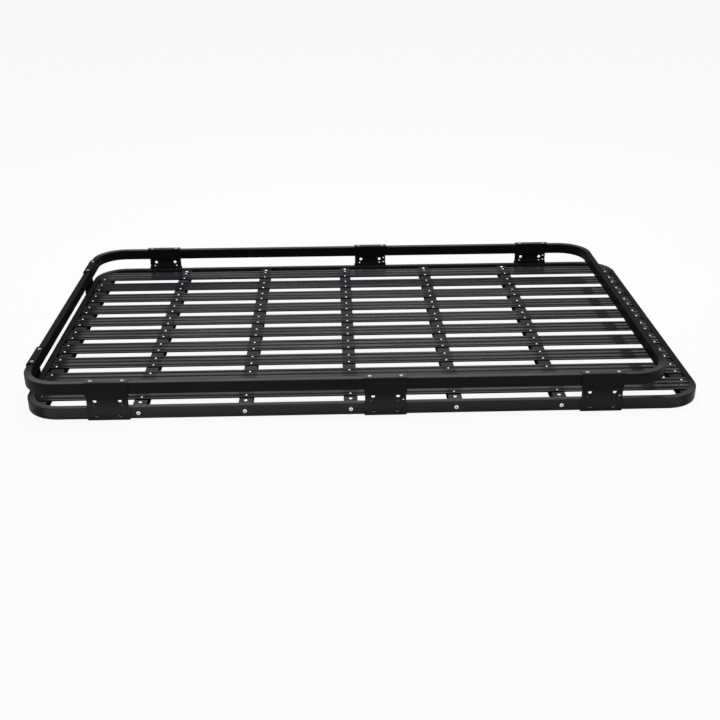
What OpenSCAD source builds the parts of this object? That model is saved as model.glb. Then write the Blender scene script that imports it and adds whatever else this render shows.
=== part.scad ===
// Roof rack: a basket of two bent tube rings round a deck of ten ribbed planks.
// X runs along the rack, Y across it, Z up. The origin is the middle of the underside.

/* [Rings] */
// Length of the lower ring over its outer faces
ring_l = 2207; // [1900:1:2600]
// Width of both rings over their outer faces
ring_w = 1325; // [1200:1:1500]
// How much shorter the upper ring is, at its right end
upper_setback = 109; // [0:1:200]
// Outer radius of the bent corners
corner_r = 122; // [110:1:140]
// Width of the ring tube, seen from above
rail_w = 23; // [20:1:28]
// Height of the ring tube
rail_h = 40; // [36:1:46]
// Wall of the ring tube
rail_wall = 2; // [1.5:0.1:2.5]
// Radius of the ring tube's outer edges
rail_edge_r = 3; // [2.5:0.1:6]
// Height of the open gap between the two rings
ring_gap = 47.5; // [46:0.5:80]

/* [Deck] */
// Gap between the ring and the first and last plank
deck_edge_gap = 39.5; // [20:0.5:60]
// Width of a plank
slat_w = 84; // [76:1:90]
// Gap between the planks' left ends and the ring
left_end_gap = 4.5; // [1:0.5:8]
// Gap between the planks' right ends and the ring
right_end_gap = 1.5; // [1:0.5:8]
// Thickness of a plank
slat_t = 4.2; // [2.6:0.1:5]
// Width of a groove at the top of a plank
groove_w = 14; // [11:0.5:18]
// Width of a groove at its floor
groove_floor_w = 9.5; // [9:0.5:11]
// Depth of a groove
groove_d = 1.4; // [0.6:0.1:1.8]
// Distance between the grooves
groove_pitch = 28; // [24:0.5:30]

/* [Crossbars] */
// Distance from the left end of the lower ring to the first inner crossbar
first_bar = 378; // [330:1:420]
// Distance from the right end of the lower ring to the last inner crossbar
last_bar = 469; // [420:1:500]
// Gap between the ring's left end and the crossbar there
left_bar_gap = 7; // [0.3:0.1:9]
// Width of a crossbar
bar_w = 45; // [38:1:50]
// Depth of a crossbar
bar_h = 30; // [24:1:34]
// Wall of a crossbar
bar_wall = 2; // [1.5:0.1:2.5]
// Radius of a crossbar's outer edges
bar_edge_r = 3; // [2.5:0.1:5]
// Length of the solid block in each end of an inner crossbar
bar_block = 36; // [30:1:50]
// Diameter of the bolt holes through the ring into a crossbar's end
bar_bolt_d = 8.5; // [6.5:0.5:10.5]
// Distance from the ring to the screw on top of a crossbar's end
bar_screw_in = 20; // [16:1:24]

/* [Plates] */
// Thickness of the folded plates that carry the upper ring
plate_t = 4; // [3:0.5:5]
// Width of a plate
plate_w = 137; // [130:1:150]
// Length that a plate's side is drawn in between the rings
plate_waist = 2.5; // [1:0.5:6]
// Length that a plate hangs below the lower ring
plate_drop = 1.5; // [1:0.5:4]
// Diameter of the two open mounting holes
mount_hole_d = 12; // [9:0.5:13]
// Distance between the two mounting holes
mount_hole_pitch = 80; // [70:1:90]
// Height of the mounting holes over the deck
mount_hole_z = 26; // [22:1:34]
// Diameter of the small holes beside the deck
small_hole_d = 5.5; // [4:0.5:7]
// Distance between the small holes
small_hole_pitch = 92; // [88:1:104]
// Distance between the two screws on top of the upper ring
top_screw_pitch = 101; // [90:1:110]
// Distance between the two screws in the lower ring
low_screw_pitch = 75; // [65:1:85]
// Middle of the left pair of side plates, from the left end of the ring
plate_x_left = 284; // [260:1:300]
// Middle of the centre pair of side plates, right of the ring's middle
plate_x_centre = 65.5; // [-60:0.5:90]
// Middle of the right pair of side plates, from the right end of the ring
plate_x_right = 341; // [315:1:400]
// Middle of the two end plates, from the long sides of the ring
plate_y_end = 219; // [215:1:300]
// Radius of a plate's outer corners
plate_corner_r = 4; // [1:0.5:8]
// Outer radius of a plate's fold
fold_r = 6; // [5:0.5:9]

/* [Hidden] */
$fn = 48;
seat = 0.3;
cut = 1;
slat_count = 10;
inner_bars = 5;
screw_d = 6.2;
bar_screw_d = 5;
sink_d = 11.4;
sink_depth = 2.6;
small_hole_z = 10;
side_hole_x = 57;
side_hole_z = [12.5, 31];
waist_end = 6;
deck_z = plate_drop + rail_h;
upper_z = deck_z + ring_gap;
upper_top = upper_z + rail_h;
ring_cx = (plate_t + seat) / 2;
left_x = ring_cx - ring_l / 2;
right_x = ring_cx + ring_l / 2;
upper_right_x = right_x - upper_setback;
half_w = ring_w / 2;
inner_half_w = half_w - rail_w;
inner_r = corner_r - rail_w;
bar_top = deck_z - slat_t - seat;
bar_z = bar_top - bar_h / 2;
bar_pitch = (ring_l - first_bar - last_bar) / (inner_bars - 1);
slat_pitch = (2 * (inner_half_w - deck_edge_gap) - slat_w) / (slat_count - 1);
low_screw_z = deck_z - rail_h * 0.6;
plate_top = upper_top + seat + plate_t;

// A rectangle with rounded corners, its middle at the origin.
module round_rect(w, h, r) {
  square([w - 2 * r, h], center = true);
  square([w, h - 2 * r], center = true);
  for (x = [-1, 1], y = [-1, 1])
    translate([x * (w / 2 - r), y * (h / 2 - r)]) circle(r = r);
}

// The wall of a rectangular tube with rounded edges.
module tube_profile(w, h, wall, r) {
  difference() {
    round_rect(w, h, r);
    round_rect(w - 2 * wall, h - 2 * wall, r - wall);
  }
}

// A straight ring tube along +X from the origin, its outer face towards -Y.
module straight_rail(length) {
  translate([0, rail_w / 2, rail_h / 2])
    rotate([90, 0, 90])
      linear_extrude(length)
        tube_profile(rail_w, rail_h, rail_wall, rail_edge_r);
}

// A quarter bend of ring tube round the origin, in the quadrant of +X and +Y.
module bend() {
  translate([0, 0, rail_h / 2])
    rotate_extrude(angle = 90, $fn = 96)
      translate([corner_r - rail_w / 2, 0])
        tube_profile(rail_w, rail_h, rail_wall, rail_edge_r);
}

// A rail of one ring; side is front, rear, left or right.
module ring_rail(side, x0, x1, z) {
  if (side == "front")
    translate([x0 + corner_r, -half_w, z]) straight_rail(x1 - x0 - 2 * corner_r);
  if (side == "rear")
    translate([x1 - corner_r, half_w, z]) rotate(180) straight_rail(x1 - x0 - 2 * corner_r);
  if (side == "left")
    translate([x0, half_w - corner_r, z]) rotate(-90) straight_rail(ring_w - 2 * corner_r);
  if (side == "right")
    translate([x1, corner_r - half_w, z]) rotate(90) straight_rail(ring_w - 2 * corner_r);
}

// A bent corner of one ring; sx and sy say on which side it lies.
module ring_corner(sx, sy, x0, x1, z) {
  turn = sx > 0 ? (sy > 0 ? 0 : -90) : (sy > 0 ? 90 : 180);
  x = sx > 0 ? x1 - corner_r : x0 + corner_r;
  translate([x, sy * (half_w - corner_r), z]) rotate(turn) bend();
}

// Bolt holes through the long rails of the lower ring, one at each inner crossbar.
module bar_bolt_holes() {
  for (i = [0:inner_bars - 1])
    translate([left_x + first_bar + i * bar_pitch, half_w + cut, bar_z])
      rotate([90, 0, 0]) cylinder(d = bar_bolt_d, h = ring_w + 2 * cut);
}

module lower_rail(side) {
  color("#222326")
    difference() {
      ring_rail(side, left_x, right_x, plate_drop);
      if (side == "front" || side == "rear") bar_bolt_holes();
    }
}

module lower_corner(sx, sy) {
  color("#222326") ring_corner(sx, sy, left_x, right_x, plate_drop);
}

module upper_rail(side) {
  color("#1d1e21") ring_rail(side, left_x, upper_right_x, upper_z);
}

module upper_corner(sx, sy) {
  color("#1d1e21") ring_corner(sx, sy, left_x, upper_right_x, upper_z);
}

// The space inside the lower ring, drawn in by a gap at each end and along the sides.
module inside_ring(left_gap, right_gap, side_gap) {
  w = ring_l - 2 * rail_w - left_gap - right_gap;
  h = 2 * (inner_half_w - side_gap);
  r = inner_r - (left_gap + right_gap) / 2;
  translate([ring_cx + (left_gap - right_gap) / 2, 0, 0])
    linear_extrude(deck_z + cut) {
      square([w - 2 * r, h], center = true);
      square([w, h - 2 * r], center = true);
      for (x = [-1, 1], y = [-1, 1])
        translate([x * (w / 2 - r), y * (h / 2 - r)]) circle(r = r, $fn = 96);
    }
}

// A crossbar tube under the deck, its middle at x; block is the length of solid at each end.
module crossbar(x, block) {
  translate([x, inner_half_w - seat, bar_z])
    rotate([90, 0, 0]) {
      linear_extrude(2 * (inner_half_w - seat))
        tube_profile(bar_w, bar_h, bar_wall, bar_edge_r);
      if (block > 0)
        for (z = [0, 2 * (inner_half_w - seat) - block])
          translate([0, 0, z]) linear_extrude(block) round_rect(bar_w, bar_h, bar_edge_r);
    }
}

module inner_crossbar(i) {
  x = left_x + first_bar + i * bar_pitch;
  color("#2a2a2d")
    difference() {
      crossbar(x, bar_block);
      translate([x, inner_half_w, bar_z])
        rotate([90, 0, 0]) cylinder(d = bar_bolt_d, h = 2 * inner_half_w);
      for (s = [-1, 1])
        translate([x, s * (inner_half_w - bar_screw_in), bar_z])
          cylinder(d = bar_screw_d, h = bar_h);
    }
}

module end_crossbar(x) {
  color("#2a2a2d")
    intersection() {
      crossbar(x, 0);
      inside_ring(seat, seat, seat);
    }
}

module left_end_crossbar() {
  end_crossbar(left_x + rail_w + left_bar_gap + bar_w / 2);
}

module right_end_crossbar() {
  end_crossbar(right_x - rail_w - seat - bar_w / 2);
}

// Cross-section of a plank: flat below, three shallow grooves along its top.
module slat_profile() {
  difference() {
    translate([-slat_w / 2, -slat_t]) square([slat_w, slat_t]);
    for (i = [-1:1])
      translate([i * groove_pitch, 0])
        polygon([
          [-groove_w / 2, cut],
          [-groove_w / 2, 0],
          [-groove_floor_w / 2, -groove_d],
          [groove_floor_w / 2, -groove_d],
          [groove_w / 2, 0],
          [groove_w / 2, cut]
        ]);
  }
}

// A plank along the deck; number 1 lies at the rear, number 10 at the front.
module deck_slat(number) {
  y = ((slat_count + 1) / 2 - number) * slat_pitch;
  color("#3a393e")
    intersection() {
      translate([left_x, y, deck_z])
        rotate([90, 0, 90])
          linear_extrude(ring_l)
            slat_profile();
      inside_ring(left_end_gap, right_end_gap, seat);
    }
}

// Cross-section of a plate: an upright side, a rounded fold and a flange on top.
module plate_section() {
  flange = plate_t + seat + rail_w;
  translate([0, 0]) square([plate_t, plate_top - fold_r]);
  translate([fold_r, plate_top - plate_t]) square([flange - fold_r, plate_t]);
  translate([fold_r, plate_top - fold_r])
    difference() {
      circle(r = fold_r);
      circle(r = fold_r - plate_t);
      translate([0, -2 * fold_r]) square([2 * fold_r, 4 * fold_r]);
      translate([-2 * fold_r, -2 * fold_r]) square([4 * fold_r, 2 * fold_r]);
    }
}

// Outline of a plate seen from outside: rounded lower corners, drawn in between the rings.
module plate_outline() {
  difference() {
    union() {
      translate([0, plate_top / 2]) round_rect(plate_w, plate_top, plate_corner_r);
      translate([-plate_w / 2, plate_top / 2]) square([plate_w, plate_top / 2]);
    }
    for (s = [-1, 1])
      translate([s * plate_w / 2, (deck_z + upper_z) / 2])
        round_rect(2 * plate_waist, upper_z - deck_z - 2 * waist_end, plate_waist / 2);
  }
}

// A countersunk screw hole through a plate: the axis is Z, the outer face is z = 0.
module sunk_hole() {
  translate([0, 0, -plate_t - cut]) cylinder(d = screw_d, h = plate_t + 2 * cut);
  translate([0, 0, -sink_depth]) cylinder(d1 = screw_d, d2 = sink_d, h = sink_depth);
}

// A small open hole through a plate, z over the deck.
module small_hole(x, z) {
  translate([x, cut, deck_z + z])
    rotate([90, 0, 0]) cylinder(d = small_hole_d, h = plate_t + 2 * cut);
}

// A folded plate for the front side: x = 0 is its middle, y = 0 its inner face.
module plate(side_holes) {
  difference() {
    intersection() {
      translate([-plate_w / 2, -plate_t, 0])
        rotate([90, 0, 90]) linear_extrude(plate_w) plate_section();
      translate([0, rail_w + cut, 0])
        rotate([90, 0, 0]) linear_extrude(rail_w + plate_t + 2 * cut) plate_outline();
    }
    for (s = [-1, 1]) {
      translate([s * mount_hole_pitch / 2, cut, deck_z + mount_hole_z])
        rotate([90, 0, 0]) cylinder(d = mount_hole_d, h = plate_t + 2 * cut);
      translate([s * low_screw_pitch / 2, -plate_t, low_screw_z])
        rotate([90, 0, 0]) sunk_hole();
      translate([s * top_screw_pitch / 2, seat + rail_w / 2, plate_top]) sunk_hole();
    }
    small_hole(-small_hole_pitch / 2, small_hole_z);
    small_hole((side_holes ? mount_hole_pitch : small_hole_pitch) / 2, small_hole_z);
    if (side_holes)
      for (z = side_hole_z) small_hole(side_hole_x, z);
  }
}

module front_plate(x, side_holes) {
  color("#232427") translate([x, -half_w - seat, 0]) plate(side_holes);
}

module rear_plate(x, side_holes) {
  color("#232427")
    translate([x, half_w + seat, 0]) mirror([0, 1, 0]) plate(side_holes);
}

module end_plate(sy) {
  color("#232427")
    translate([left_x - seat, sy * (half_w - plate_y_end), 0])
      rotate(-90) plate(false);
}

lower_rail("front");  // lower_front_rail
lower_rail("rear");  // lower_rear_rail
lower_rail("left");  // lower_left_rail
lower_rail("right");  // lower_right_rail
lower_corner(-1, -1);  // lower_corner_front_left
lower_corner(1, -1);  // lower_corner_front_right
lower_corner(-1, 1);  // lower_corner_rear_left
lower_corner(1, 1);  // lower_corner_rear_right
upper_rail("front");  // upper_front_rail
upper_rail("rear");  // upper_rear_rail
upper_rail("left");  // upper_left_rail
upper_rail("right");  // upper_right_rail
upper_corner(-1, -1);  // upper_corner_front_left
upper_corner(1, -1);  // upper_corner_front_right
upper_corner(-1, 1);  // upper_corner_rear_left
upper_corner(1, 1);  // upper_corner_rear_right
left_end_crossbar();  // crossbar_left_end
inner_crossbar(0);  // crossbar_1
inner_crossbar(1);  // crossbar_2
inner_crossbar(2);  // crossbar_3
inner_crossbar(3);  // crossbar_4
inner_crossbar(4);  // crossbar_5
right_end_crossbar();  // crossbar_right_end
deck_slat(1);  // deck_slat_01
deck_slat(2);  // deck_slat_02
deck_slat(3);  // deck_slat_03
deck_slat(4);  // deck_slat_04
deck_slat(5);  // deck_slat_05
deck_slat(6);  // deck_slat_06
deck_slat(7);  // deck_slat_07
deck_slat(8);  // deck_slat_08
deck_slat(9);  // deck_slat_09
deck_slat(10);  // deck_slat_10
front_plate(left_x + plate_x_left, false);  // side_plate_front_left
front_plate(ring_cx + plate_x_centre, true);  // side_plate_front_centre
front_plate(right_x - plate_x_right, true);  // side_plate_front_right
rear_plate(left_x + plate_x_left, false);  // side_plate_rear_left
rear_plate(ring_cx + plate_x_centre, true);  // side_plate_rear_centre
rear_plate(right_x - plate_x_right, true);  // side_plate_rear_right
end_plate(-1);  // end_plate_front
end_plate(1);  // end_plate_rear
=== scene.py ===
"""Roof rack: the finishes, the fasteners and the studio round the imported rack."""

import logging
import math
from dataclasses import astuple, dataclass, field
from enum import Enum
from typing import Iterable, Optional, Sequence

import bmesh
import bpy
from mathutils import Matrix, Vector


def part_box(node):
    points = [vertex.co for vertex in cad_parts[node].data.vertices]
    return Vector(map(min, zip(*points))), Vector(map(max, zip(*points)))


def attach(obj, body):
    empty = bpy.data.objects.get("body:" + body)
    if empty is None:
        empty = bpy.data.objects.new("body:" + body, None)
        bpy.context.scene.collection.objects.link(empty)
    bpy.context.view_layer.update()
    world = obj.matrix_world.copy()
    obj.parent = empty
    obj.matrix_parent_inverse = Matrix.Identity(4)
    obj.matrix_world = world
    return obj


LOG = logging.getLogger("roof_rack")
ROOT = "root"

MM = 0.001
HEXAGON = 6
MERGED_WITHIN = 1e-7
INNER_CROSSBARS = 5
BOTH_ENDS = (-1, 1)
HALVES = (-0.5, 0.5)

VECTOR = "NodeSocketVector"
NUMBER = "NodeSocketFloat"

Triple = tuple[float, float, float]
Outline = Sequence[tuple[float, float]]
Sockets = tuple[tuple[str, str], ...]

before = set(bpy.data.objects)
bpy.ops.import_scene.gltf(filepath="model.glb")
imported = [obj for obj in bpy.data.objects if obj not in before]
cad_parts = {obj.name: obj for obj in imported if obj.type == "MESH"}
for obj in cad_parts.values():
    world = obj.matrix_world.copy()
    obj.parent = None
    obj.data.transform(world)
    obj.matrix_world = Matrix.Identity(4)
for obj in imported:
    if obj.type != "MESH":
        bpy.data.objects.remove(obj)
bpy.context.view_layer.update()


class Side(Enum):
    """The way a side of the rack faces."""

    FRONT = Vector((0.0, -1.0, 0.0))
    REAR = Vector((0.0, 1.0, 0.0))
    LEFT = Vector((-1.0, 0.0, 0.0))
    UP = Vector((0.0, 0.0, 1.0))

    @property
    def axis(self) -> int:
        """Returns the axis that the side faces along: 0 for X, 1 for Y, 2 for Z."""
        return next(axis for axis in range(3) if self.value[axis])


class Metal(Enum):
    """The metals of the fasteners, as colour and lowest roughness."""

    ZINC = ((0.88, 0.89, 0.90), 0.30)
    WORN_ZINC = ((0.58, 0.58, 0.59), 0.34)
    ALUMINIUM = ((0.56, 0.56, 0.58), 0.40)
    GREYED = ((0.42, 0.42, 0.43), 0.26)
    SHADED = ((0.045, 0.045, 0.048), 0.55)
    # Painted shade: the near-black tone of the low screws' dished heads and sockets stands in for the shade
    # in these recesses.
    BLACKENED = ((0.010, 0.010, 0.011), 0.60)


# Node helpers


@dataclass(frozen=True)
class Span:
    """A range of a value, and what the value becomes at its two ends."""

    low: float
    high: float
    to_low: float = 0.0
    to_high: float = 1.0


@dataclass(frozen=True)
class Pattern:
    """A noise: its waves per metre, each way or along each axis, its finer layers and their strength."""

    waves: float | Triple | bpy.types.NodeSocket
    layers: float = 3.0
    strength: float = 0.55


@dataclass
class NodeSheet:
    """Adds and joins the nodes of one node tree, from left to right."""

    tree: bpy.types.NodeTree
    column: int = 0
    width: int = 190
    height: int = 160
    rows: int = 4

    def add(self, kind: str, **settings: object) -> bpy.types.Node:
        """Adds a node.

        Args:
            kind: The node's type name, such as ShaderNodeMath.
            **settings: Properties of the node to set.

        Returns:
            The new node.
        """
        node = self.tree.nodes.new(kind)
        node.location = (self.column * self.width, -(self.column % self.rows) * self.height)
        self.column += 1
        for name, value in settings.items():
            setattr(node, name, value)
        return node

    def join(self, source: bpy.types.NodeSocket, target: bpy.types.NodeSocket) -> None:
        """Joins an output to an input."""
        self.tree.links.new(source, target)

    def feed(self, target: bpy.types.NodeSocket, value: object) -> None:
        """Joins a value to an input where it is a socket, and otherwise sets it there.

        Args:
            target: The input.
            value: A socket, or a number or colour.
        """
        if isinstance(value, bpy.types.NodeSocket):
            self.join(value, target)
        else:
            target.default_value = value

    def math(self, operation: str, *values: object, clamp: bool = False) -> bpy.types.NodeSocket:
        """Adds a Math node.

        Args:
            operation: The node's operation, such as MULTIPLY.
            *values: One number or socket for each input.
            clamp: Whether the result stays between 0 and 1.

        Returns:
            The node's output.
        """
        node = self.add("ShaderNodeMath", operation=operation, use_clamp=clamp)
        for socket, value in zip(node.inputs, values):
            self.feed(socket, value)
        return node.outputs[0]

    def ramp(self, value: bpy.types.NodeSocket, span: Span) -> bpy.types.NodeSocket:
        """Maps a value smoothly from one range to another.

        Args:
            value: The value to map.
            span: The two ranges.

        Returns:
            The mapped value.
        """
        node = self.add("ShaderNodeMapRange", interpolation_type="SMOOTHSTEP")
        for name, number in zip(("From Min", "From Max", "To Min", "To Max"), astuple(span)):
            node.inputs[name].default_value = number
        self.join(value, node.inputs["Value"])
        return node.outputs["Result"]

    def spread(self, mask: bpy.types.NodeSocket, at_none: float, at_full: float) -> bpy.types.NodeSocket:
        """Maps a mask smoothly onto the range between two numbers."""
        return self.ramp(mask, Span(0.0, 1.0, at_none, at_full))

    def blend(self, mask: object, first: object, second: object) -> bpy.types.NodeSocket:
        """Mixes two colours.

        Args:
            mask: How much of the second colour shows.
            first: The colour where the mask is 0.
            second: The colour where the mask is 1.

        Returns:
            The mixed colour.
        """
        node = self.add("ShaderNodeMix", data_type="RGBA")
        self.feed(node.inputs["Factor"], mask)
        self.feed(node.inputs["A"], first)
        self.feed(node.inputs["B"], second)
        return node.outputs["Result"]

    def noise(self, where: bpy.types.NodeSocket, pattern: Pattern) -> bpy.types.NodeSocket:
        """Adds a noise pattern.

        Args:
            where: The place to read it at.
            pattern: How fine it is and what it is made of.

        Returns:
            The pattern, from 0 to 1.
        """
        waves = pattern.waves
        if isinstance(waves, tuple):
            where, waves = self.stretch(where, waves), 1.0
        node = self.add("ShaderNodeTexNoise")
        self.join(where, node.inputs["Vector"])
        self.feed(node.inputs["Scale"], waves)
        node.inputs["Detail"].default_value = pattern.layers
        node.inputs["Roughness"].default_value = pattern.strength
        return node.outputs["Fac"]

    def stretch(self, where: bpy.types.NodeSocket, factors: Triple) -> bpy.types.NodeSocket:
        """Scales a place along each axis.

        Args:
            where: The place.
            factors: The three factors.

        Returns:
            The scaled place.
        """
        node = self.add("ShaderNodeMapping", vector_type="POINT")
        self.join(where, node.inputs["Vector"])
        node.inputs["Scale"].default_value = factors
        return node.outputs["Vector"]

    def split(self, vector: bpy.types.NodeSocket) -> bpy.types.NodeOutputs:
        """Splits a vector.

        Args:
            vector: The vector.

        Returns:
            Its parts, named X, Y and Z.
        """
        node = self.add("ShaderNodeSeparateXYZ")
        self.join(vector, node.inputs[0])
        return node.outputs


def emptied(owner: bpy.types.Material | bpy.types.World) -> NodeSheet:
    """Clears the nodes that Blender puts into a new material or world.

    Args:
        owner: The material or the world.

    Returns:
        The sheet of its own node tree.
    """
    owner.use_nodes = True
    owner.node_tree.nodes.clear()
    return NodeSheet(owner.node_tree)


@dataclass(frozen=True)
class EffectGroup:
    """A shader node group that more than one finish uses, built at its first use."""

    name: str = ""
    takes: Sockets = ()
    gives: tuple[str, ...] = ()

    def tree(self) -> bpy.types.NodeTree:
        """Returns the group's tree, which is built once."""
        found = bpy.data.node_groups.get(self.name)
        return found if found else self._build()

    def _build(self) -> bpy.types.NodeTree:
        """Makes the group's sockets and its nodes.

        Returns:
            The new tree.
        """
        tree = bpy.data.node_groups.new(self.name, "ShaderNodeTree")
        for name, kind in self.takes:
            tree.interface.new_socket(name, in_out="INPUT", socket_type=kind)
        for name in self.gives:
            tree.interface.new_socket(name, in_out="OUTPUT", socket_type=NUMBER)
        sheet = NodeSheet(tree)
        start = sheet.add("NodeGroupInput")
        results = self.fill(sheet, start.outputs)
        end = sheet.add("NodeGroupOutput")
        for name, result in zip(self.gives, results):
            sheet.join(result, end.inputs[name])
        return tree

    def fill(self, sheet: NodeSheet, given: bpy.types.NodeOutputs) -> list[bpy.types.NodeSocket]:
        """Adds the effect's own nodes.

        Args:
            sheet: Where to add them.
            given: The group's inputs.

        Returns:
            One socket for each output of the group.
        """
        raise NotImplementedError

    def place(self, sheet: NodeSheet, **values: object) -> bpy.types.NodeOutputs:
        """Puts the group into a material.

        Args:
            sheet: The material's nodes.
            **values: A number or socket for each input, its name written with underscores.

        Returns:
            The outputs of the placed group.
        """
        node = sheet.add("ShaderNodeGroup", node_tree=self.tree())
        for name, value in values.items():
            sheet.feed(node.inputs[name.replace("_", " ")], value)
        return node.outputs


@dataclass(frozen=True)
class CoatGrain(EffectGroup):
    """The fine orange peel of a sprayed coat, with the cloudy change of tone over it."""

    name: str = "coat_grain"
    takes: Sockets = (("Place", VECTOR), ("Fineness", NUMBER))
    gives: tuple[str, ...] = ("Tone", "Height")
    peel_layers: float = 2.0
    peel_strength: float = 0.6
    clouds: Pattern = Pattern(9.0, layers=4.0, strength=0.5)
    peel_share: float = 0.35
    toned: Span = Span(0.32, 0.68)

    def fill(self, sheet: NodeSheet, given: bpy.types.NodeOutputs) -> list[bpy.types.NodeSocket]:
        """Adds fine grain for the height, and slow clouds over it for the tone.

        Args:
            sheet: Where to add them.
            given: The group's inputs.

        Returns:
            The tone and the height.
        """
        peel = sheet.noise(given["Place"], Pattern(given["Fineness"], self.peel_layers, self.peel_strength))
        clouds = sheet.noise(given["Place"], self.clouds)
        share = sheet.math("MULTIPLY", peel, self.peel_share)
        tone = sheet.math("MULTIPLY_ADD", clouds, 1.0 - self.peel_share, share)
        return [sheet.ramp(tone, self.toned), peel]


@dataclass(frozen=True)
class DustAndTopLight(EffectGroup):
    """A mask of dust and of painted top light on what faces up, thinner at the rear and at the right end as
    painted light falloff.
    """

    name: str = "dust_and_painted_top_light"
    takes: Sockets = (("Place", VECTOR), ("Facing", VECTOR), ("Amount", NUMBER))
    gives: tuple[str, ...] = ("Mask",)
    facing_up: Span = Span(0.35, 0.97)
    to_rear: Span = Span(-0.6, 0.5, 1.0, 0.48)
    to_right: Span = Span(0.50, 0.90, 1.0, 0.42)
    patches: Pattern = Pattern(14.0, layers=5.0)
    patchy: Span = Span(0.25, 0.75, 0.70, 1.0)
    specks: Pattern = Pattern(950.0, layers=1.0)
    speckled: Span = Span(0.60, 0.74)
    speck_share: float = 0.20

    def fill(self, sheet: NodeSheet, given: bpy.types.NodeOutputs) -> list[bpy.types.NodeSocket]:
        """Adds an even film with patches and specks where the surface faces up: dust, and painted top
        light.

        Args:
            sheet: Where to add them.
            given: The group's inputs.

        Returns:
            The mask.
        """
        # Painted top light: the film lightens what faces up, as light from above would, besides the dust.
        up = sheet.ramp(sheet.split(given["Facing"])["Z"], self.facing_up)
        place = sheet.split(given["Place"])
        # Painted light falloff: the film thins towards the rear and the right end, where the light is
        # weaker.
        far = sheet.ramp(place["Y"], self.to_rear)
        right = sheet.ramp(place["X"], self.to_right)
        patches = sheet.noise(given["Place"], self.patches)
        specks = sheet.ramp(sheet.noise(given["Place"], self.specks), self.speckled)
        lying = sheet.math("MULTIPLY_ADD", specks, self.speck_share, sheet.ramp(patches, self.patchy))
        there = sheet.math("MULTIPLY", sheet.math("MULTIPLY", lying, up),
                           sheet.math("MULTIPLY", far, right))
        return [sheet.math("MULTIPLY", there, given["Amount"], clamp=True)]


@dataclass(frozen=True)
class PaintedLightParts(EffectGroup):
    """Where light and shade are painted on the coat in place of how the light falls: the short sides, which
    are the darkest, the rear, and the low outer faces of the long sides.
    """

    name: str = "painted_light_parts"
    takes: Sockets = (("Place", VECTOR),)
    gives: tuple[str, ...] = ("Short Sides", "Rear Side", "Low Outside")
    left_end: Span = Span(-1.06, -0.94, 1.0, 0.0)
    right_end: Span = Span(0.80, 0.95, 0.0, 0.88)
    between: Span = Span(0.50, 0.655, 1.0, 0.0)
    rear_side: Span = Span(0.40, 0.58)
    low: Span = Span(0.03, 0.085, 1.0, 0.0)
    outside: Span = Span(0.648, 0.660)
    to_right: Span = Span(-0.9, 1.1, 1.0, 0.62)

    def fill(self, sheet: NodeSheet, given: bpy.types.NodeOutputs) -> list[bpy.types.NodeSocket]:
        """Adds the masks of the short sides, of the rear and of the long sides' low outer faces, where
        painted light and shade go.

        Args:
            sheet: Where to add them.
            given: The group's inputs.

        Returns:
            The three masks.
        """
        place = sheet.split(given["Place"])
        across = sheet.math("ABSOLUTE", place["Y"])
        # The short sides: they take a painted tone in place of the light that falls on them.
        left = sheet.ramp(place["X"], self.left_end)
        right = sheet.ramp(place["X"], self.right_end)
        between = sheet.ramp(across, self.between)
        short_sides = sheet.math("MULTIPLY", sheet.math("MAXIMUM", left, right), between)
        # The rear side: it takes a painted tone in place of its light.
        rear = sheet.ramp(place["Y"], self.rear_side)
        # The low outer faces of the long sides: painted light from the floor, falling off towards the right
        # end.
        low = sheet.ramp(place["Z"], self.low)
        outside = sheet.ramp(across, self.outside)
        light_falloff = sheet.ramp(place["X"], self.to_right)
        low_outside = sheet.math("MULTIPLY", low, sheet.math("MULTIPLY", outside, light_falloff))
        return [short_sides, rear, low_outside]


@dataclass(frozen=True)
class HandlingMarks(EffectGroup):
    """Hairline rub marks that handling leaves on a coat, in two crossing directions."""

    name: str = "handling_marks"
    takes: Sockets = (("Place", VECTOR), ("Amount", NUMBER))
    gives: tuple[str, ...] = ("Mask",)
    along: Pattern = Pattern((6.0, 700.0, 700.0), layers=1.0)
    across: Pattern = Pattern((800.0, 9.0, 40.0), layers=1.0)
    along_shown: Span = Span(0.66, 0.80)
    across_shown: Span = Span(0.69, 0.80)
    places: Pattern = Pattern(5.0)
    places_shown: Span = Span(0.45, 0.7)

    def fill(self, sheet: NodeSheet, given: bpy.types.NodeOutputs) -> list[bpy.types.NodeSocket]:
        """Adds two stretched noises that show only here and there.

        Args:
            sheet: Where to add them.
            given: The group's inputs.

        Returns:
            The mask.
        """
        along = sheet.noise(given["Place"], self.along)
        across = sheet.noise(given["Place"], self.across)
        lines = sheet.math("MAXIMUM", sheet.ramp(along, self.along_shown),
                           sheet.ramp(across, self.across_shown))
        where = sheet.ramp(sheet.noise(given["Place"], self.places), self.places_shown)
        return [sheet.math("MULTIPLY", sheet.math("MULTIPLY", lines, where), given["Amount"], clamp=True)]


# Finishes


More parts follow.
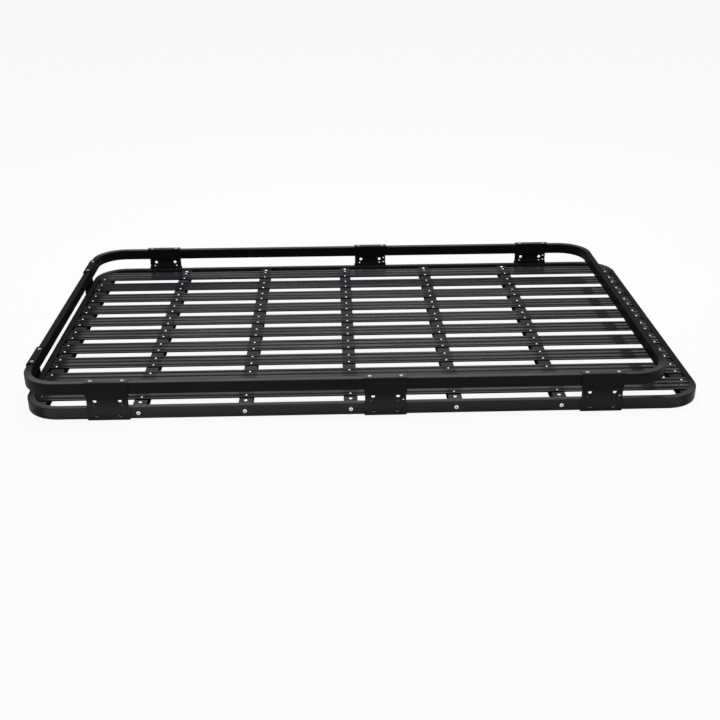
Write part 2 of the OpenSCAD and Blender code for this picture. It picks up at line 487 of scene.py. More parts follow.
@dataclass(frozen=True)
class Finish:
    """A surface finish, made into a material once."""

    name: str

    def material(self) -> bpy.types.Material:
        """Returns the finish's material, which is built once."""
        found = bpy.data.materials.get(self.name)
        return found if found else self._build()

    def _build(self) -> bpy.types.Material:
        """Makes the material with its shader and its own nodes.

        Returns:
            The new material.
        """
        made = bpy.data.materials.new(self.name)
        sheet = emptied(made)
        where = sheet.add("ShaderNodeTexCoord").outputs["Object"]
        shader = sheet.add("ShaderNodeBsdfPrincipled")
        end = sheet.add("ShaderNodeOutputMaterial")
        sheet.join(shader.outputs["BSDF"], end.inputs["Surface"])
        self.paint(sheet, where, shader.inputs)
        return made

    def paint(self, sheet: NodeSheet, where: bpy.types.NodeSocket, shader: bpy.types.NodeInputs) -> None:
        """Feeds the shader.

        Args:
            sheet: The material's nodes.
            where: The place on the object, in metres.
            shader: The shader's inputs.
        """
        raise NotImplementedError

    @staticmethod
    def dent(sheet: NodeSheet, height: bpy.types.NodeSocket, depth: float,
             shader: bpy.types.NodeInputs) -> None:
        """Turns a height into a bump on the shader.

        Args:
            sheet: The material's nodes.
            height: The height, from 0 to 1.
            depth: How deep 1 is, in metres.
            shader: The shader's inputs.
        """
        bump = sheet.add("ShaderNodeBump")
        bump.inputs["Strength"].default_value = 1.0
        bump.inputs["Distance"].default_value = depth
        sheet.join(height, bump.inputs["Height"])
        sheet.join(bump.outputs["Normal"], shader["Normal"])

    @staticmethod
    def gloss(shader: bpy.types.NodeInputs, ior: float, roughness: float) -> None:
        """Leaves the shader's whole gloss to its clear coat.

        Args:
            shader: The shader's inputs.
            ior: How strongly the clear coat mirrors.
            roughness: How soft its mirroring is.
        """
        shader["Coat IOR"].default_value = ior
        shader["Coat Roughness"].default_value = roughness
        shader["Specular IOR Level"].default_value = 0.0

    @staticmethod
    def grey(level: float, violet: float = 0.0) -> tuple[float, float, float, float]:
        """Returns a grey of a linear level, with a share of violet in it."""
        return (level, level * (1.0 - violet / 2), level * (1.0 + violet * 1.5), 1.0)


@dataclass(frozen=True)
class PowderCoat(Finish):
    """Black powder coat on steel, with fine orange peel, and with painted light: lighter low down on the
    outside and on top.

    Dark and light are the coat's own tones. The tone of the rear and the short sides is a painted tone that
    stands in for the light or shade there, the low tone is painted light low down on the outside, and the
    film tone is dust together with painted top light. A handling mark is rub_factor times as bright as
    light. The names with rear and short say how much of the painted side tone or of the sheen those sides
    have.
    """

    dark: float = 0.016
    light: float = 0.023
    side_light_tone: float = 0.007
    low: float = 0.085
    dust_and_light_tone: float = 0.105
    violet: float = 0.035
    rub_factor: float = 2.0
    rear_light_share: float = 0.60
    short_light_share: float = 0.78
    smooth: float = 0.60
    rough: float = 0.75
    film_rough: float = 0.12
    rub_rough: float = 0.12
    sheen: float = 0.85
    sheen_swing: float = 0.15
    short_sheen: float = 0.1
    coat_ior: float = 1.12
    coat_roughness: float = 0.32
    fineness: float = 620.0
    peel: float = 0.06 * MM
    dust_and_top_light: float = 0.85
    marks: float = 0.30

    def paint(self, sheet: NodeSheet, where: bpy.types.NodeSocket, shader: bpy.types.NodeInputs) -> None:
        """Feeds grain, painted side light and shade, marks, and dust with painted top light into colour,
        roughness, sheen and bump.

        Args:
            sheet: The material's nodes.
            where: The place on the object, in metres.
            shader: The shader's inputs.
        """
        facing = sheet.add("ShaderNodeNewGeometry").outputs["Normal"]
        grain = CoatGrain().place(sheet, Place=where, Fineness=self.fineness)
        parts = PaintedLightParts().place(sheet, Place=where)
        marks = HandlingMarks().place(sheet, Place=where, Amount=self.marks)
        dust_and_top_light = DustAndTopLight().place(sheet, Place=where, Facing=facing, Amount=self.dust_and_top_light)
        coat = sheet.blend(grain["Tone"], self.tone(self.dark), self.tone(self.light))
        # The rear side takes a painted tone in place of its light: darker on the rings and plates, lighter
        # on the crossbars.
        rear_light = sheet.math("MULTIPLY", parts["Rear Side"], self.rear_light_share)
        rear_lit = sheet.blend(rear_light, coat, self.tone(self.side_light_tone))
        # Painted light: the low outer faces are lighter, as the floor lights them.
        greyed = sheet.blend(parts["Low Outside"], rear_lit, self.tone(self.low))
        rubbed = sheet.blend(marks["Mask"], greyed, self.tone(self.light * self.rub_factor))
        # Dust, and painted top light: the film lightens what faces up.
        dusted_and_lit = sheet.blend(dust_and_top_light["Mask"], rubbed, self.tone(self.dust_and_light_tone))
        # The short sides take the painted tone in place of their light: darker on the rings and plates,
        # lighter on the crossbars.
        short_light = sheet.math("MULTIPLY", parts["Short Sides"], self.short_light_share)
        sheet.join(sheet.blend(short_light, dusted_and_lit, self.tone(self.side_light_tone)), shader["Base Color"])
        satin = sheet.spread(grain["Tone"], self.smooth, self.rough)
        duller = sheet.math("MULTIPLY_ADD", dust_and_top_light["Mask"], self.film_rough, satin)
        sheet.join(sheet.math("MULTIPLY_ADD", marks["Mask"], self.rub_rough, duller), shader["Roughness"])
        shine = sheet.spread(grain["Tone"], self.sheen * (1.0 + self.sheen_swing),
                             self.sheen * (1.0 - self.sheen_swing))
        dimmed = sheet.spread(parts["Short Sides"], 1.0, self.short_sheen)
        sheet.join(sheet.math("MULTIPLY", shine, dimmed, clamp=True), shader["Coat Weight"])
        self.gloss(shader, self.coat_ior, self.coat_roughness)
        self.dent(sheet, grain["Height"], self.peel, shader)

    def tone(self, level: float) -> tuple[float, float, float, float]:
        """Returns a grey of a linear level in the coat's own cast."""
        return self.grey(level, self.violet)


@dataclass(frozen=True)
class PlankCoat(Finish):
    """Black anodised plank: lengthwise draw lines, ridges glossier than grooves and grooves darker with
    painted shade, dull over the crossbars.

    The groove tone is painted shade, the film tone is dust with painted top light, and the tone rub the
    handling marks'. The names with dull are about the patches over the crossbars, whose ragged edges come
    from frayed and fraying.
    """

    groove: float = 1.4 * MM
    ridge_edge: float = 0.1 * MM
    ridge: Triple = (0.0180, 0.0168, 0.0215)
    hollow: Triple = (0.0065, 0.0060, 0.0078)
    streak: Triple = (0.0300, 0.0280, 0.0355)
    streak_strength: float = 0.6
    drawn: Pattern = Pattern((1.6, 1500.0, 1500.0), strength=0.7)
    bands: Pattern = Pattern((2.2, 55.0, 55.0))
    draw_share: float = 0.5
    streaked: Span = Span(0.35, 0.65)
    draw_depth: float = 0.04 * MM
    draw_rough: Span = Span(0.3, 0.7, 0.5, 0.7)
    sheen_high: float = 0.54
    sheen_low: float = 0.05
    sheen_bands: Span = Span(0.3, 0.7, 0.70, 1.25)
    sheen_to_rear: Span = Span(-0.62, 0.62, 1.22, 0.79)
    coat_ior: float = 1.40
    coat_roughness: float = 0.15
    dust_and_top_light: float = 0.10
    dust_and_light_tone: float = 0.09
    dust_and_light_violet: float = 0.03
    marks: float = 0.3
    rub: float = 0.07
    dull_tone: float = 0.5
    dull_sheen: float = 0.58
    dull_edge: Span = Span(0.070, 0.125, 1.0, 0.0)
    dull_until: Span = Span(0.70, 0.78, 1.0, 0.0)
    frayed: Pattern = Pattern(60.0)
    fraying: float = 0.05

    def over_crossbars(self, sheet: NodeSheet, along: bpy.types.NodeSocket,
                       fray: bpy.types.NodeSocket) -> bpy.types.NodeSocket:
        """Finds where a plank lies on a crossbar, all but the one at the right end.

        Args:
            sheet: The material's nodes.
            along: The place along X.
            fray: The pattern that breaks the edges up.

        Returns:
            The mask.
        """
        first, second = middle("crossbar_1").x, middle("crossbar_2").x
        steps = sheet.math("DIVIDE", sheet.math("SUBTRACT", along, first), second - first)
        off = sheet.math("ABSOLUTE", sheet.math("SUBTRACT", steps, sheet.math("ROUND", steps)))
        here = sheet.ramp(sheet.math("MULTIPLY_ADD", fray, self.fraying, off), self.dull_edge)
        return sheet.math("MULTIPLY", here, sheet.ramp(along, self.dull_until))

    def paint(self, sheet: NodeSheet, where: bpy.types.NodeSocket, shader: bpy.types.NodeInputs) -> None:
        """Feeds the ridges with painted shade in the grooves, the draw lines, the dull patches, and the
        dust with painted top light into colour, gloss and bump.

        Args:
            sheet: The material's nodes.
            where: The place on the object, in metres.
            shader: The shader's inputs.
        """
        facing = sheet.add("ShaderNodeNewGeometry").outputs["Normal"]
        place = sheet.split(where)
        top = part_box("deck_slat_01")[1].z
        ridge = sheet.ramp(place["Z"], Span(top - self.groove, top - self.ridge_edge))
        drawn = sheet.noise(where, self.drawn)
        bands = sheet.noise(where, self.bands)
        dust_and_top_light = DustAndTopLight().place(sheet, Place=where, Facing=facing, Amount=self.dust_and_top_light)
        marks = HandlingMarks().place(sheet, Place=where, Amount=self.marks)
        dull = self.over_crossbars(sheet, place["X"], sheet.noise(where, self.frayed))
        hollow, high, streak = ((*colour, 1.0) for colour in (self.hollow, self.ridge, self.streak))
        # Painted shade: the grooves take the darker hollow tone, and the ridges the lighter one.
        coat = sheet.blend(ridge, hollow, high)
        both = sheet.math("MULTIPLY_ADD", drawn, self.draw_share,
                          sheet.math("MULTIPLY", bands, 1.0 - self.draw_share))
        lines = sheet.math("MULTIPLY", sheet.ramp(both, self.streaked), self.streak_strength)
        lined = sheet.blend(lines, coat, streak)
        dulled = sheet.blend(sheet.math("MULTIPLY", dull, self.dull_tone), lined, hollow)
        rubbed = sheet.blend(marks["Mask"], dulled, self.grey(self.rub))
        # Dust, and painted top light on the planks.
        dusted_and_lit = sheet.blend(dust_and_top_light["Mask"], rubbed, self.grey(self.dust_and_light_tone, self.dust_and_light_violet))
        sheet.join(dusted_and_lit, shader["Base Color"])
        sheet.join(sheet.ramp(drawn, self.draw_rough), shader["Roughness"])
        sheen = sheet.spread(ridge, self.sheen_low, self.sheen_high)
        patchy = sheet.ramp(bands, self.sheen_bands)
        to_rear = sheet.ramp(place["Y"], self.sheen_to_rear)
        shine = sheet.math("MULTIPLY", sheen, sheet.math("MULTIPLY", patchy, to_rear), clamp=True)
        left_over = sheet.spread(dull, 1.0, self.dull_sheen)
        sheet.join(sheet.math("MULTIPLY", shine, left_over), shader["Coat Weight"])
        self.gloss(shader, self.coat_ior, self.coat_roughness)
        self.dent(sheet, drawn, self.draw_depth, shader)


@dataclass(frozen=True)
class BareMetal(Finish):
    """Plated or bare metal of a fastener: bright, lightly brushed and dulled in spots."""

    metal: Metal = Metal.ZINC
    spots: Pattern = Pattern(420.0, layers=4.0)
    spotted: Span = Span(0.42, 0.72)
    spot_tone: float = 0.80
    spot_rough: float = 0.16
    turned: Pattern = Pattern(3800.0, layers=2.0)
    turned_depth: float = 0.01 * MM

    def paint(self, sheet: NodeSheet, where: bpy.types.NodeSocket, shader: bpy.types.NodeInputs) -> None:
        """Feeds spots and fine turning marks into colour, roughness and bump.

        Args:
            sheet: The material's nodes.
            where: The place on the object, in metres.
            shader: The shader's inputs.
        """
        colour, roughness = self.metal.value
        spots = sheet.ramp(sheet.noise(where, self.spots), self.spotted)
        fine = sheet.noise(where, self.turned)
        dull = [channel * self.spot_tone for channel in colour]
        sheet.join(sheet.blend(spots, (*colour, 1.0), (*dull, 1.0)), shader["Base Color"])
        sheet.join(sheet.spread(spots, roughness, roughness + self.spot_rough), shader["Roughness"])
        shader["Metallic"].default_value = 1.0
        self.dent(sheet, fine, self.turned_depth, shader)


# The side tone, the low tone and the film tone of each coat are painted light and shade, with dust in the
# film; on the crossbars the side tone is painted light on the end crossbars.
RING_COAT = PowderCoat("ring_powder_coat")
PLATE_COAT = PowderCoat("plate_powder_coat", low=0.066, fineness=520.0, peel=0.08 * MM, marks=0.35)
CROSSBAR_COAT = PowderCoat("crossbar_powder_coat", dark=0.007, light=0.012, side_light_tone=0.034, dust_and_light_tone=0.082,
                           violet=0.05, smooth=0.80, rough=0.95, sheen=0.0, fineness=800.0)
PLANK_COAT = PlankCoat("plank_anodised")
RIVET_METAL = BareMetal("rivet_aluminium", Metal.ALUMINIUM)
SCREW_METAL = BareMetal("screw_zinc", Metal.ZINC)
WORN_METAL = BareMetal("screw_worn_zinc", Metal.WORN_ZINC)
GREYED_METAL = BareMetal("screw_greyed", Metal.GREYED)
SOCKET_METAL = BareMetal("socket_inside", Metal.SHADED)
# Painted shade in the dish and the socket of the low screws.
DISH_METAL = BareMetal("screw_dish", Metal.BLACKENED)


# Fastener shapes


def middle(node: str) -> Vector:
    """Returns the middle of a CAD node's box."""
    low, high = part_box(node)
    return (low + high) / 2


def outer_face(node: str, side: Side) -> float:
    """Returns where a CAD node ends on a side, along the axis that the side faces."""
    low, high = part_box(node)
    return (low if side.value[side.axis] < 0 else high)[side.axis]


def placed(name: str, data: bpy.types.ID) -> bpy.types.Object:
    """Puts new data into the scene.

    Args:
        name: The name of its object.
        data: The mesh, lamp or camera.

    Returns:
        The object.
    """
    thing = bpy.data.objects.new(name, data)
    bpy.context.scene.collection.objects.link(thing)
    return thing


def spun(outline: Outline, steps: int) -> bmesh.types.BMesh:
    """Turns an outline once round Z.

    Args:
        outline: Radius and height of each point, in metres, from the top to the bottom.
        steps: How many faces go round.

    Returns:
        The turned shape, closed where the outline reaches Z.
    """
    shape = bmesh.new()
    points = [shape.verts.new((radius, 0.0, height)) for radius, height in outline]
    edges = [shape.edges.new(pair) for pair in zip(points, points[1:])]
    bmesh.ops.spin(shape, geom=points + edges, cent=(0, 0, 0), axis=(0, 0, 1), angle=math.tau,
                   steps=steps, use_merge=True)
    bmesh.ops.remove_doubles(shape, verts=shape.verts, dist=MERGED_WITHIN)
    return shape


@dataclass
class Fastener:
    """A turned fastener along Z, which sits on the plane z = 0 with its head at the top."""

    steps: int = 24

    def shape(self) -> bmesh.types.BMesh:
        """Returns one fastener at the origin."""
        raise NotImplementedError


@dataclass
class DomeRivet(Fastener):
    """A blind rivet: a dome with its stem's small hollow, given in shares of half the head and its rise."""

    steps: int = 12
    head: float = 7.6 * MM
    rise: float = 1.6 * MM
    shank: float = 4.8 * MM
    grip: float = 1.0 * MM
    dome: Outline = ((0.0, 0.72), (0.26, 0.72), (0.33, 1.0), (0.78, 0.66), (1.0, 0.0))

    def shape(self) -> bmesh.types.BMesh:
        """Returns one rivet at the origin."""
        dome = [(self.head / 2 * out, self.rise * up) for out, up in self.dome]
        return spun([*dome, (self.shank / 2, 0.0), (0.0, -self.grip)], self.steps)


@dataclass
class Screw(Fastener):
    """A fastener with a hexagon socket in its head, and a plain shank with a bevelled end."""

    head: float = 14.0 * MM
    flats: float = 5.0 * MM
    socket_depth: float = 2.6 * MM
    shank: float = 8.0 * MM
    length: float = 40.0 * MM
    bevel: float = 1.0 * MM

    def stem(self) -> list[tuple[float, float]]:
        """Returns the outline of the shank's end."""
        half = self.shank / 2
        return [(half, self.bevel - self.length), (half - self.bevel, -self.length), (0.0, -self.length)]

    def socket(self, shape: bmesh.types.BMesh, top: float, depth: float, with_land: bool = False) -> None:
        """Sinks the hexagon socket into the open top of a spun shape.

        Args:
            shape: The spun shape, open at its top.
            top: The height of the open rim.
            depth: How deep the socket is.
            with_land: Whether the flat round the socket takes the socket's finish too.
        """
        rim = [edge for edge in shape.edges if edge.is_boundary]
        outside = set(shape.faces)
        corner = self.flats / 2 / math.cos(math.pi / HEXAGON)
        ring = bmesh.ops.create_circle(shape, segments=HEXAGON, radius=corner)
        bmesh.ops.translate(shape, verts=ring["verts"], vec=(0, 0, top))
        hexagon = list({edge for vert in ring["verts"] for edge in vert.link_edges})
        cuts = self.steps // HEXAGON - 1
        parts = bmesh.ops.subdivide_edges(shape, edges=hexagon, cuts=cuts)["geom_split"]
        hexagon = [part for part in parts if isinstance(part, bmesh.types.BMEdge)]
        bmesh.ops.bridge_loops(shape, edges=rim + hexagon)
        if not with_land:
            outside = set(shape.faces)
        walls = bmesh.ops.extrude_edge_only(shape, edges=hexagon)["geom"]
        low_points = [part for part in walls if isinstance(part, bmesh.types.BMVert)]
        bmesh.ops.translate(shape, verts=low_points, vec=(0, 0, -depth))
        low_edges = [part for part in walls if isinstance(part, bmesh.types.BMEdge) and part.is_boundary]
        bmesh.ops.contextual_create(shape, geom=low_edges)
        for face in set(shape.faces) - outside:
            face.material_index = 1


@dataclass
class ButtonScrew(Screw):
    """A round-headed screw, its dome given in shares of half the head and of its rise."""

    rise: float = 4.1 * MM
    dome: Outline = ((0.50, 1.0), (0.72, 0.86), (0.90, 0.58), (1.0, 0.18), (1.0, 0.0))

    def shape(self) -> bmesh.types.BMesh:
        """Turns the screw and sinks its socket.

        Returns:
            One screw at the origin.
        """
        dome = [(self.head / 2 * out, self.rise * up) for out, up in self.dome]
        shape = spun([*dome, (self.shank / 2, 0.0), *self.stem()], self.steps)
        self.socket(shape, self.rise, self.socket_depth)
        return shape


@dataclass
class SunkScrew(Screw):
    """A countersunk screw, the top of its head flat or dished."""

    head: float = 11.1 * MM
    flats: float = 4.0 * MM
    socket_depth: float = 2.2 * MM
    shank: float = 6.0 * MM
    length: float = 12.0 * MM
    sink: float = 2.6 * MM
    below: float = 0.05 * MM
    rim_share: float = 0.97
    rim_height: float = 0.2 * MM
    dish: float = 0.0
    dish_width: float = 0.95 * MM

    def shape(self) -> bmesh.types.BMesh:
        """Turns the screw with its dish, if it has one, and sinks its socket.

        Returns:
            One screw at the origin.
        """
        half, top = self.head / 2, -self.below
        dished = [(half - self.dish_width, top - self.dish)] if self.dish else []
        head = [(half * self.rim_share, top), (half, top - self.rim_height), (self.shank / 2, -self.sink)]
        shape = spun([*dished, *head, *self.stem()], self.steps)
        self.socket(shape, top - self.dish, self.socket_depth - self.dish, with_land=self.dish > 0)
        return shape


@dataclass
class FastenerSet:
    """Several like fasteners that make one piece of the model, each turned further than the last."""

    name: str
    kind: Fastener
    finish: Finish
    seats: list[tuple[Vector, Side]]
    inside: Finish = SOCKET_METAL
    turn: float = 37.0
    sharp: float = 35.0

    def pattern(self) -> bpy.types.Mesh:
        """Builds the mesh of one fastener at the origin.

        Returns:
            The mesh, its faces pointing outwards.
        """
        mesh = bpy.data.meshes.new(self.name + "_single")
        shape = self.kind.shape()
        bmesh.ops.recalc_face_normals(shape, faces=shape.faces)
        shape.to_mesh(mesh)
        shape.free()
        return mesh

    def build(self) -> bpy.types.Object:
        """Builds every fastener at its seat and lets the piece ride on the rack.

        Returns:
            The finished object.
        """
        whole = bmesh.new()
        single = self.pattern()
        for number, (seat, facing) in enumerate(self.seats):
            before = len(whole.verts)
            whole.from_mesh(single)
            whole.verts.ensure_lookup_table()
            upright = Side.UP.value.rotation_difference(facing.value).to_matrix().to_4x4()
            turned = Matrix.Rotation(math.radians(self.turn * number % 360.0), 4, "Z")
            bmesh.ops.transform(whole, matrix=Matrix.Translation(seat) @ upright @ turned,
                                verts=whole.verts[before:])
        bpy.data.meshes.remove(single)
        for face in whole.faces:
            face.smooth = True
        for edge in whole.edges:
            edge.smooth = edge.calc_face_angle(0.0) < math.radians(self.sharp)
        mesh = bpy.data.meshes.new(self.name)
        whole.to_mesh(mesh)
        whole.free()
        mesh.materials.append(self.finish.material())
        if any(polygon.material_index for polygon in mesh.polygons):
            mesh.materials.append(self.inside.material())
        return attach(placed(self.name, mesh), ROOT)


# Sub-assemblies


@dataclass
class SubAssembly:
    """One group of the rack's CAD nodes, with the fasteners that hold it."""

    nodes: tuple[str, ...] = ()
    finish: Optional[Finish] = None

    def dress(self) -> None:
        """Gives every CAD node of the group its finish."""
        for name in self.nodes:
            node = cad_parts[name]
            for slot in node.material_slots:
                slot.link = "OBJECT"
                slot.material = self.finish.material()

    def fasteners(self) -> Iterable[FastenerSet]:
        """Returns the sets of fasteners, which is none unless the group has its own."""
        return ()

    def build(self) -> None:
        """Dresses the nodes, builds the fasteners and reports each of them."""
        self.dress()
        for name in self.nodes:
            LOG.info("dressed %s in %s", name, self.finish.name)
        for group in self.fasteners():
            piece = group.build()
            LOG.info("built %s with %d faces", piece.name, len(piece.data.polygons))


@dataclass
class Ring(SubAssembly):
    """A bent ring of rectangular tube, in four rails and four corners."""

    level: str = "lower"
    finish: Finish = RING_COAT

    def __post_init__(self) -> None:
        """Names the ring's eight nodes."""
        rails = [f"{self.level}_{side}_rail" for side in ("front", "rear", "left", "right")]
        corners = [f"{self.level}_corner_{end}_{hand}"
                   for end in ("front", "rear") for hand in ("left", "right")]
        self.nodes = tuple(rails + corners)


@dataclass
class Crossbars(SubAssembly):
    """The seven crossbars, the inner five bolted to the ring at both ends."""

    finish: Finish = CROSSBAR_COAT
    screw_in: float = 20.0 * MM
    ring_bolt: ButtonScrew = field(default_factory=ButtonScrew)
    top_screw: ButtonScrew = field(default_factory=lambda: ButtonScrew(
        head=12.0 * MM, rise=3.0 * MM, flats=4.0 * MM, socket_depth=2.0 * MM,
        shank=4.8 * MM, length=10.0 * MM))

    def __post_init__(self) -> None:
        """Names the seven nodes."""
        self.nodes = ("crossbar_left_end", *self.inner(), "crossbar_right_end")

    @staticmethod
    def inner() -> list[str]:
        """Returns the names of the five inner crossbars."""
        return [f"crossbar_{number}" for number in range(1, INNER_CROSSBARS + 1)]

    def fasteners(self) -> Iterable[FastenerSet]:
        """Places a screw on each end's top, and a bolt through the ring into each end.

        Returns:
            One set of screws and one of bolts for each inner crossbar.
        """
        face = outer_face("lower_rear_rail", Side.REAR)
        for name in self.inner():
            high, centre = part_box(name)[1], middle(name)
            y = high.y - self.screw_in
            on_top = [(Vector((centre.x, end * y, high.z)), Side.UP) for end in BOTH_ENDS]
            yield FastenerSet(f"{name}_top_screws", self.top_screw, SCREW_METAL, on_top)
            in_ring = [(Vector((centre.x, side.value.y * face, centre.z)), side)
                       for side in (Side.FRONT, Side.REAR)]
            yield FastenerSet(f"{name}_ring_bolts", self.ring_bolt, SCREW_METAL, in_ring)


@dataclass
class Deck(SubAssembly):
    """The ten ribbed planks, each riveted twice to every crossbar."""

    finish: Finish = PLANK_COAT
    count: int = 10
    groove_pitch: float = 28.0 * MM
    groove_depth: float = PLANK_COAT.groove
    left_inset: float = 13.85 * MM
    right_inset: float = 17.05 * MM
    left_shift: float = 7.9 * MM
    right_shift: float = -12.6 * MM
    left_corner_row: float = 572.0 * MM
    right_corner_row: float = 566.0 * MM
    rivet: DomeRivet = field(default_factory=DomeRivet)

    def __post_init__(self) -> None:
        """Names the ten nodes."""
        self.nodes = tuple(f"deck_slat_{number:02d}" for number in range(1, self.count + 1))

    def row(self, y: float, at_corner: bool) -> list[tuple[float, float]]:
        """Places the two end rivets of a row, which move inwards at the ring's rounded corners.

        Args:
            y: Where the row runs.
            at_corner: Whether it runs into the corners.

        Returns:
            The place of the left and of the right rivet.
        """
        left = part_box("crossbar_left_end")[0].x + self.left_inset
        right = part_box("crossbar_right_end")[1].x - self.right_inset
        if not at_corner:
            return [(left, y), (right, y)]
        return [(left + self.left_shift, math.copysign(self.left_corner_row, y)),
                (right + self.right_shift, math.copysign(self.right_corner_row, y))]

    def fasteners(self) -> Iterable[FastenerSet]:
        """Places two rows of rivets in the outer grooves of each plank.

        Returns:
            One set of rivets for each plank.
        """
        inner = [middle(name).x for name in Crossbars.inner()]
        last = len(self.nodes) - 1
        for number, name in enumerate(self.nodes):
            low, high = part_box(name)
            rows = [(low.y + high.y) / 2 + row * self.groove_pitch for row in BOTH_ENDS]
            places = [(x, y) for x in inner for y in rows]
            places += self.row(rows[0], number == last) + self.row(rows[1], number == 0)
            seats = [(Vector((x, y, high.z - self.groove_depth)), Side.UP) for x, y in places]
            yield FastenerSet(f"plank_rivets_{number + 1:02d}", self.rivet, RIVET_METAL, seats)


@dataclass
class Plates(SubAssembly):
    """The eight folded plates, each screwed twice to the upper and twice to the lower ring."""

    finish: Finish = PLATE_COAT
    top_pitch: float = 101.0 * MM
    low_pitch: float = 75.0 * MM
    low_height: float = 17.5 * MM
    top_screw: SunkScrew = field(default_factory=SunkScrew)
    low_screw: SunkScrew = field(default_factory=lambda: SunkScrew(head=11.2 * MM, dish=1.1 * MM))

    def __post_init__(self) -> None:
        """Names the eight nodes."""
        hands = ("left", "centre", "right")
        sides = [f"side_plate_{end}_{hand}" for end in ("front", "rear") for hand in hands]
        self.nodes = (*sides, "end_plate_front", "end_plate_rear")

    @staticmethod
    def side_of(name: str) -> Side:
        """Tells which way a plate's upright side faces.

        Args:
            name: The plate's node.

        Returns:
            The side.
        """
        if name.startswith("end"):
            return Side.LEFT
        return Side.FRONT if "front" in name else Side.REAR

    @staticmethod
    def pair(centre: Vector, along: Vector, pitch: float, facing: Side) -> list[tuple[Vector, Side]]:
        """Returns two seats, one on each side of a centre."""
        return [(centre + along * half * pitch, facing) for half in HALVES]

    def fasteners(self) -> Iterable[FastenerSet]:
        """Places two screws in each plate's flange and two in its upright side.

        Returns:
            Two sets of two screws for each plate.
        """
        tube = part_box("upper_front_rail")
        inset = (tube[1].y - tube[0].y) / 2
        for name in self.nodes:
            side = self.side_of(name)
            along = Vector((abs(side.value.y), abs(side.value.x), 0.0))
            on_tube, in_ring = middle(name), middle(name)
            rail_face = outer_face(f"upper_{side.name.lower()}_rail", side)
            on_tube[side.axis] = rail_face - side.value[side.axis] * inset
            on_tube.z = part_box(name)[1].z
            in_ring[side.axis] = outer_face(name, side)
            in_ring.z = self.low_height
            yield FastenerSet(f"{name}_top_screws", self.top_screw, WORN_METAL,
                              self.pair(on_tube, along, self.top_pitch, Side.UP))
            yield FastenerSet(f"{name}_low_screws", self.low_screw, GREYED_METAL,
                              self.pair(in_ring, along, self.low_pitch, side), DISH_METAL)


# Studio


@dataclass(frozen=True)
class SoftBox:
    """A square lamp: where it hangs, what it points at, the length of its sides, and its power in watts."""

    name: str
    place: Triple
    aim: Triple
    size: float
    power: float

    def hang(self) -> bpy.types.Object:
        """Hangs the lamp.

        Returns:
            The lamp.
        """
        data = bpy.data.lights.new(self.name, "AREA")
        data.shape = "SQUARE"
        data.size = self.size
        data.energy = self.power
        lamp = placed(self.name, data)
        lamp.location = self.place
        lamp.rotation_euler = (Vector(self.aim) - Vector(self.place)).to_track_quat("-Z", "Y").to_euler()
        return lamp


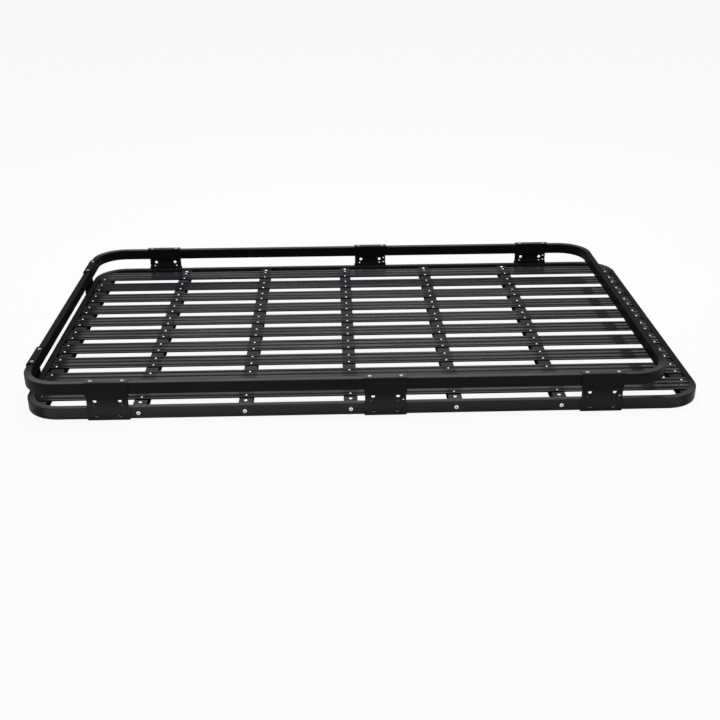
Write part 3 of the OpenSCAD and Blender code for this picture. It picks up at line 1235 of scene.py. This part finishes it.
@dataclass
class Studio:
    """The floor, the light and the camera."""

    camera_place: Triple = (-0.09049, -3.65086, 1.56912)
    camera_turn: Triple = (65.30289, 0.35505, -1.64098)
    lens: float = 52.305
    sensor: float = 36.0
    sight: float = 200.0
    floor_size: float = 60.0
    floor_squares: int = 8
    floor_below: float = 0.5 * MM
    floor_shade: float = 0.06
    floor_colour: float = 0.80
    fill_level: float = 0.10
    lamps: tuple[SoftBox, ...] = (
        SoftBox("overhead_box", place=(0.1, 0.9, 3.5), aim=(0.0, 0.0, 0.0), size=2.4, power=140.0),
        SoftBox("left_fill", place=(-3.4, -2.4, 1.0), aim=(-0.6, 0.0, 0.0), size=1.2, power=8.0),
    )

    @staticmethod
    def seen(sheet: NodeSheet) -> bpy.types.NodeSocket:
        """Returns 1 for rays of the camera, of a reflection and through glass."""
        path = sheet.add("ShaderNodeLightPath").outputs
        return sheet.math("MAXIMUM", path["Is Camera Ray"],
                          sheet.math("MAXIMUM", path["Is Glossy Ray"], path["Is Transmission Ray"]))

    @staticmethod
    def glow(sheet: NodeSheet, kind: str, strength: float = 1.0) -> bpy.types.Node:
        """Adds a white shader that gives light.

        Args:
            sheet: The nodes to add it to.
            kind: The shader's type name.
            strength: How bright it is.

        Returns:
            The shader.
        """
        node = sheet.add(kind)
        node.inputs["Color"].default_value = Finish.grey(1.0)
        node.inputs["Strength"].default_value = strength
        return node

    @staticmethod
    def mix(sheet: NodeSheet, share: bpy.types.NodeSocket, shaders: Sequence[bpy.types.Node],
            end_kind: str) -> None:
        """Mixes two shaders into a tree's output.

        Args:
            sheet: The tree's nodes.
            share: How much of the second shader shows.
            shaders: The two shaders.
            end_kind: The type name of the tree's output.
        """
        mixed = sheet.add("ShaderNodeMixShader")
        sheet.join(share, mixed.inputs["Fac"])
        for number, shader in enumerate(shaders, 1):
            sheet.join(shader.outputs[0], mixed.inputs[number])
        end = sheet.add(end_kind)
        sheet.join(mixed.outputs[0], end.inputs["Surface"])

    def floor(self) -> bpy.types.Object:
        """Builds the pale floor, which keeps a faint shadow of the rack.

        Returns:
            The floor.
        """
        shape = bmesh.new()
        bmesh.ops.create_grid(shape, x_segments=self.floor_squares, y_segments=self.floor_squares,
                              size=self.floor_size / 2)
        bmesh.ops.translate(shape, verts=shape.verts, vec=(0, 0, -self.floor_below))
        mesh = bpy.data.meshes.new("floor")
        shape.to_mesh(mesh)
        shape.free()
        mesh.materials.append(self.floor_material())
        piece = placed("floor", mesh)
        return piece

    def floor_material(self) -> bpy.types.Material:
        """Makes the floor white to the camera, but for the share of it that takes the shadow.

        Returns:
            The material.
        """
        made = bpy.data.materials.new("pale_floor")
        sheet = emptied(made)
        seen = self.seen(sheet)
        matt = sheet.add("ShaderNodeBsdfDiffuse")
        matt.inputs["Color"].default_value = Finish.grey(self.floor_colour)
        white = self.glow(sheet, "ShaderNodeEmission")
        share = sheet.math("MULTIPLY", seen, 1.0 - self.floor_shade)
        self.mix(sheet, share, (matt, white), "ShaderNodeOutputMaterial")
        return made

    def world(self) -> bpy.types.World:
        """Makes the surroundings: white where seen or mirrored, and a soft fill elsewhere.

        Returns:
            The world.
        """
        made = bpy.data.worlds.new("studio")
        sheet = emptied(made)
        seen = self.seen(sheet)
        fill = self.glow(sheet, "ShaderNodeBackground", self.fill_level)
        white = self.glow(sheet, "ShaderNodeBackground")
        self.mix(sheet, seen, (fill, white), "ShaderNodeOutputWorld")
        bpy.context.scene.world = made
        return made

    def camera(self) -> bpy.types.Object:
        """Sets the camera at the photograph's place and angle.

        Returns:
            The camera.
        """
        data = bpy.data.cameras.new("camera")
        data.lens = self.lens
        data.sensor_width = self.sensor
        data.clip_end = self.sight
        camera = placed("camera", data)
        camera.location = self.camera_place
        camera.rotation_euler = [math.radians(angle) for angle in self.camera_turn]
        bpy.context.scene.camera = camera
        return camera

    def build(self) -> None:
        """Builds the whole studio and reports each part of it."""
        bpy.context.scene.view_settings.view_transform = "Standard"
        for thing in (self.world(), self.floor(), *(lamp.hang() for lamp in self.lamps), self.camera()):
            LOG.info("set %s", thing.name)


def main() -> None:
    """Builds the rack's sub-assemblies in order and then the studio."""
    logging.basicConfig(level=logging.INFO, format="%(name)s: %(message)s")
    for part in (Ring(level="lower"), Ring(level="upper"), Crossbars(), Deck(), Plates()):
        part.build()
    Studio().build()


if __name__ == "__main__":
    main()
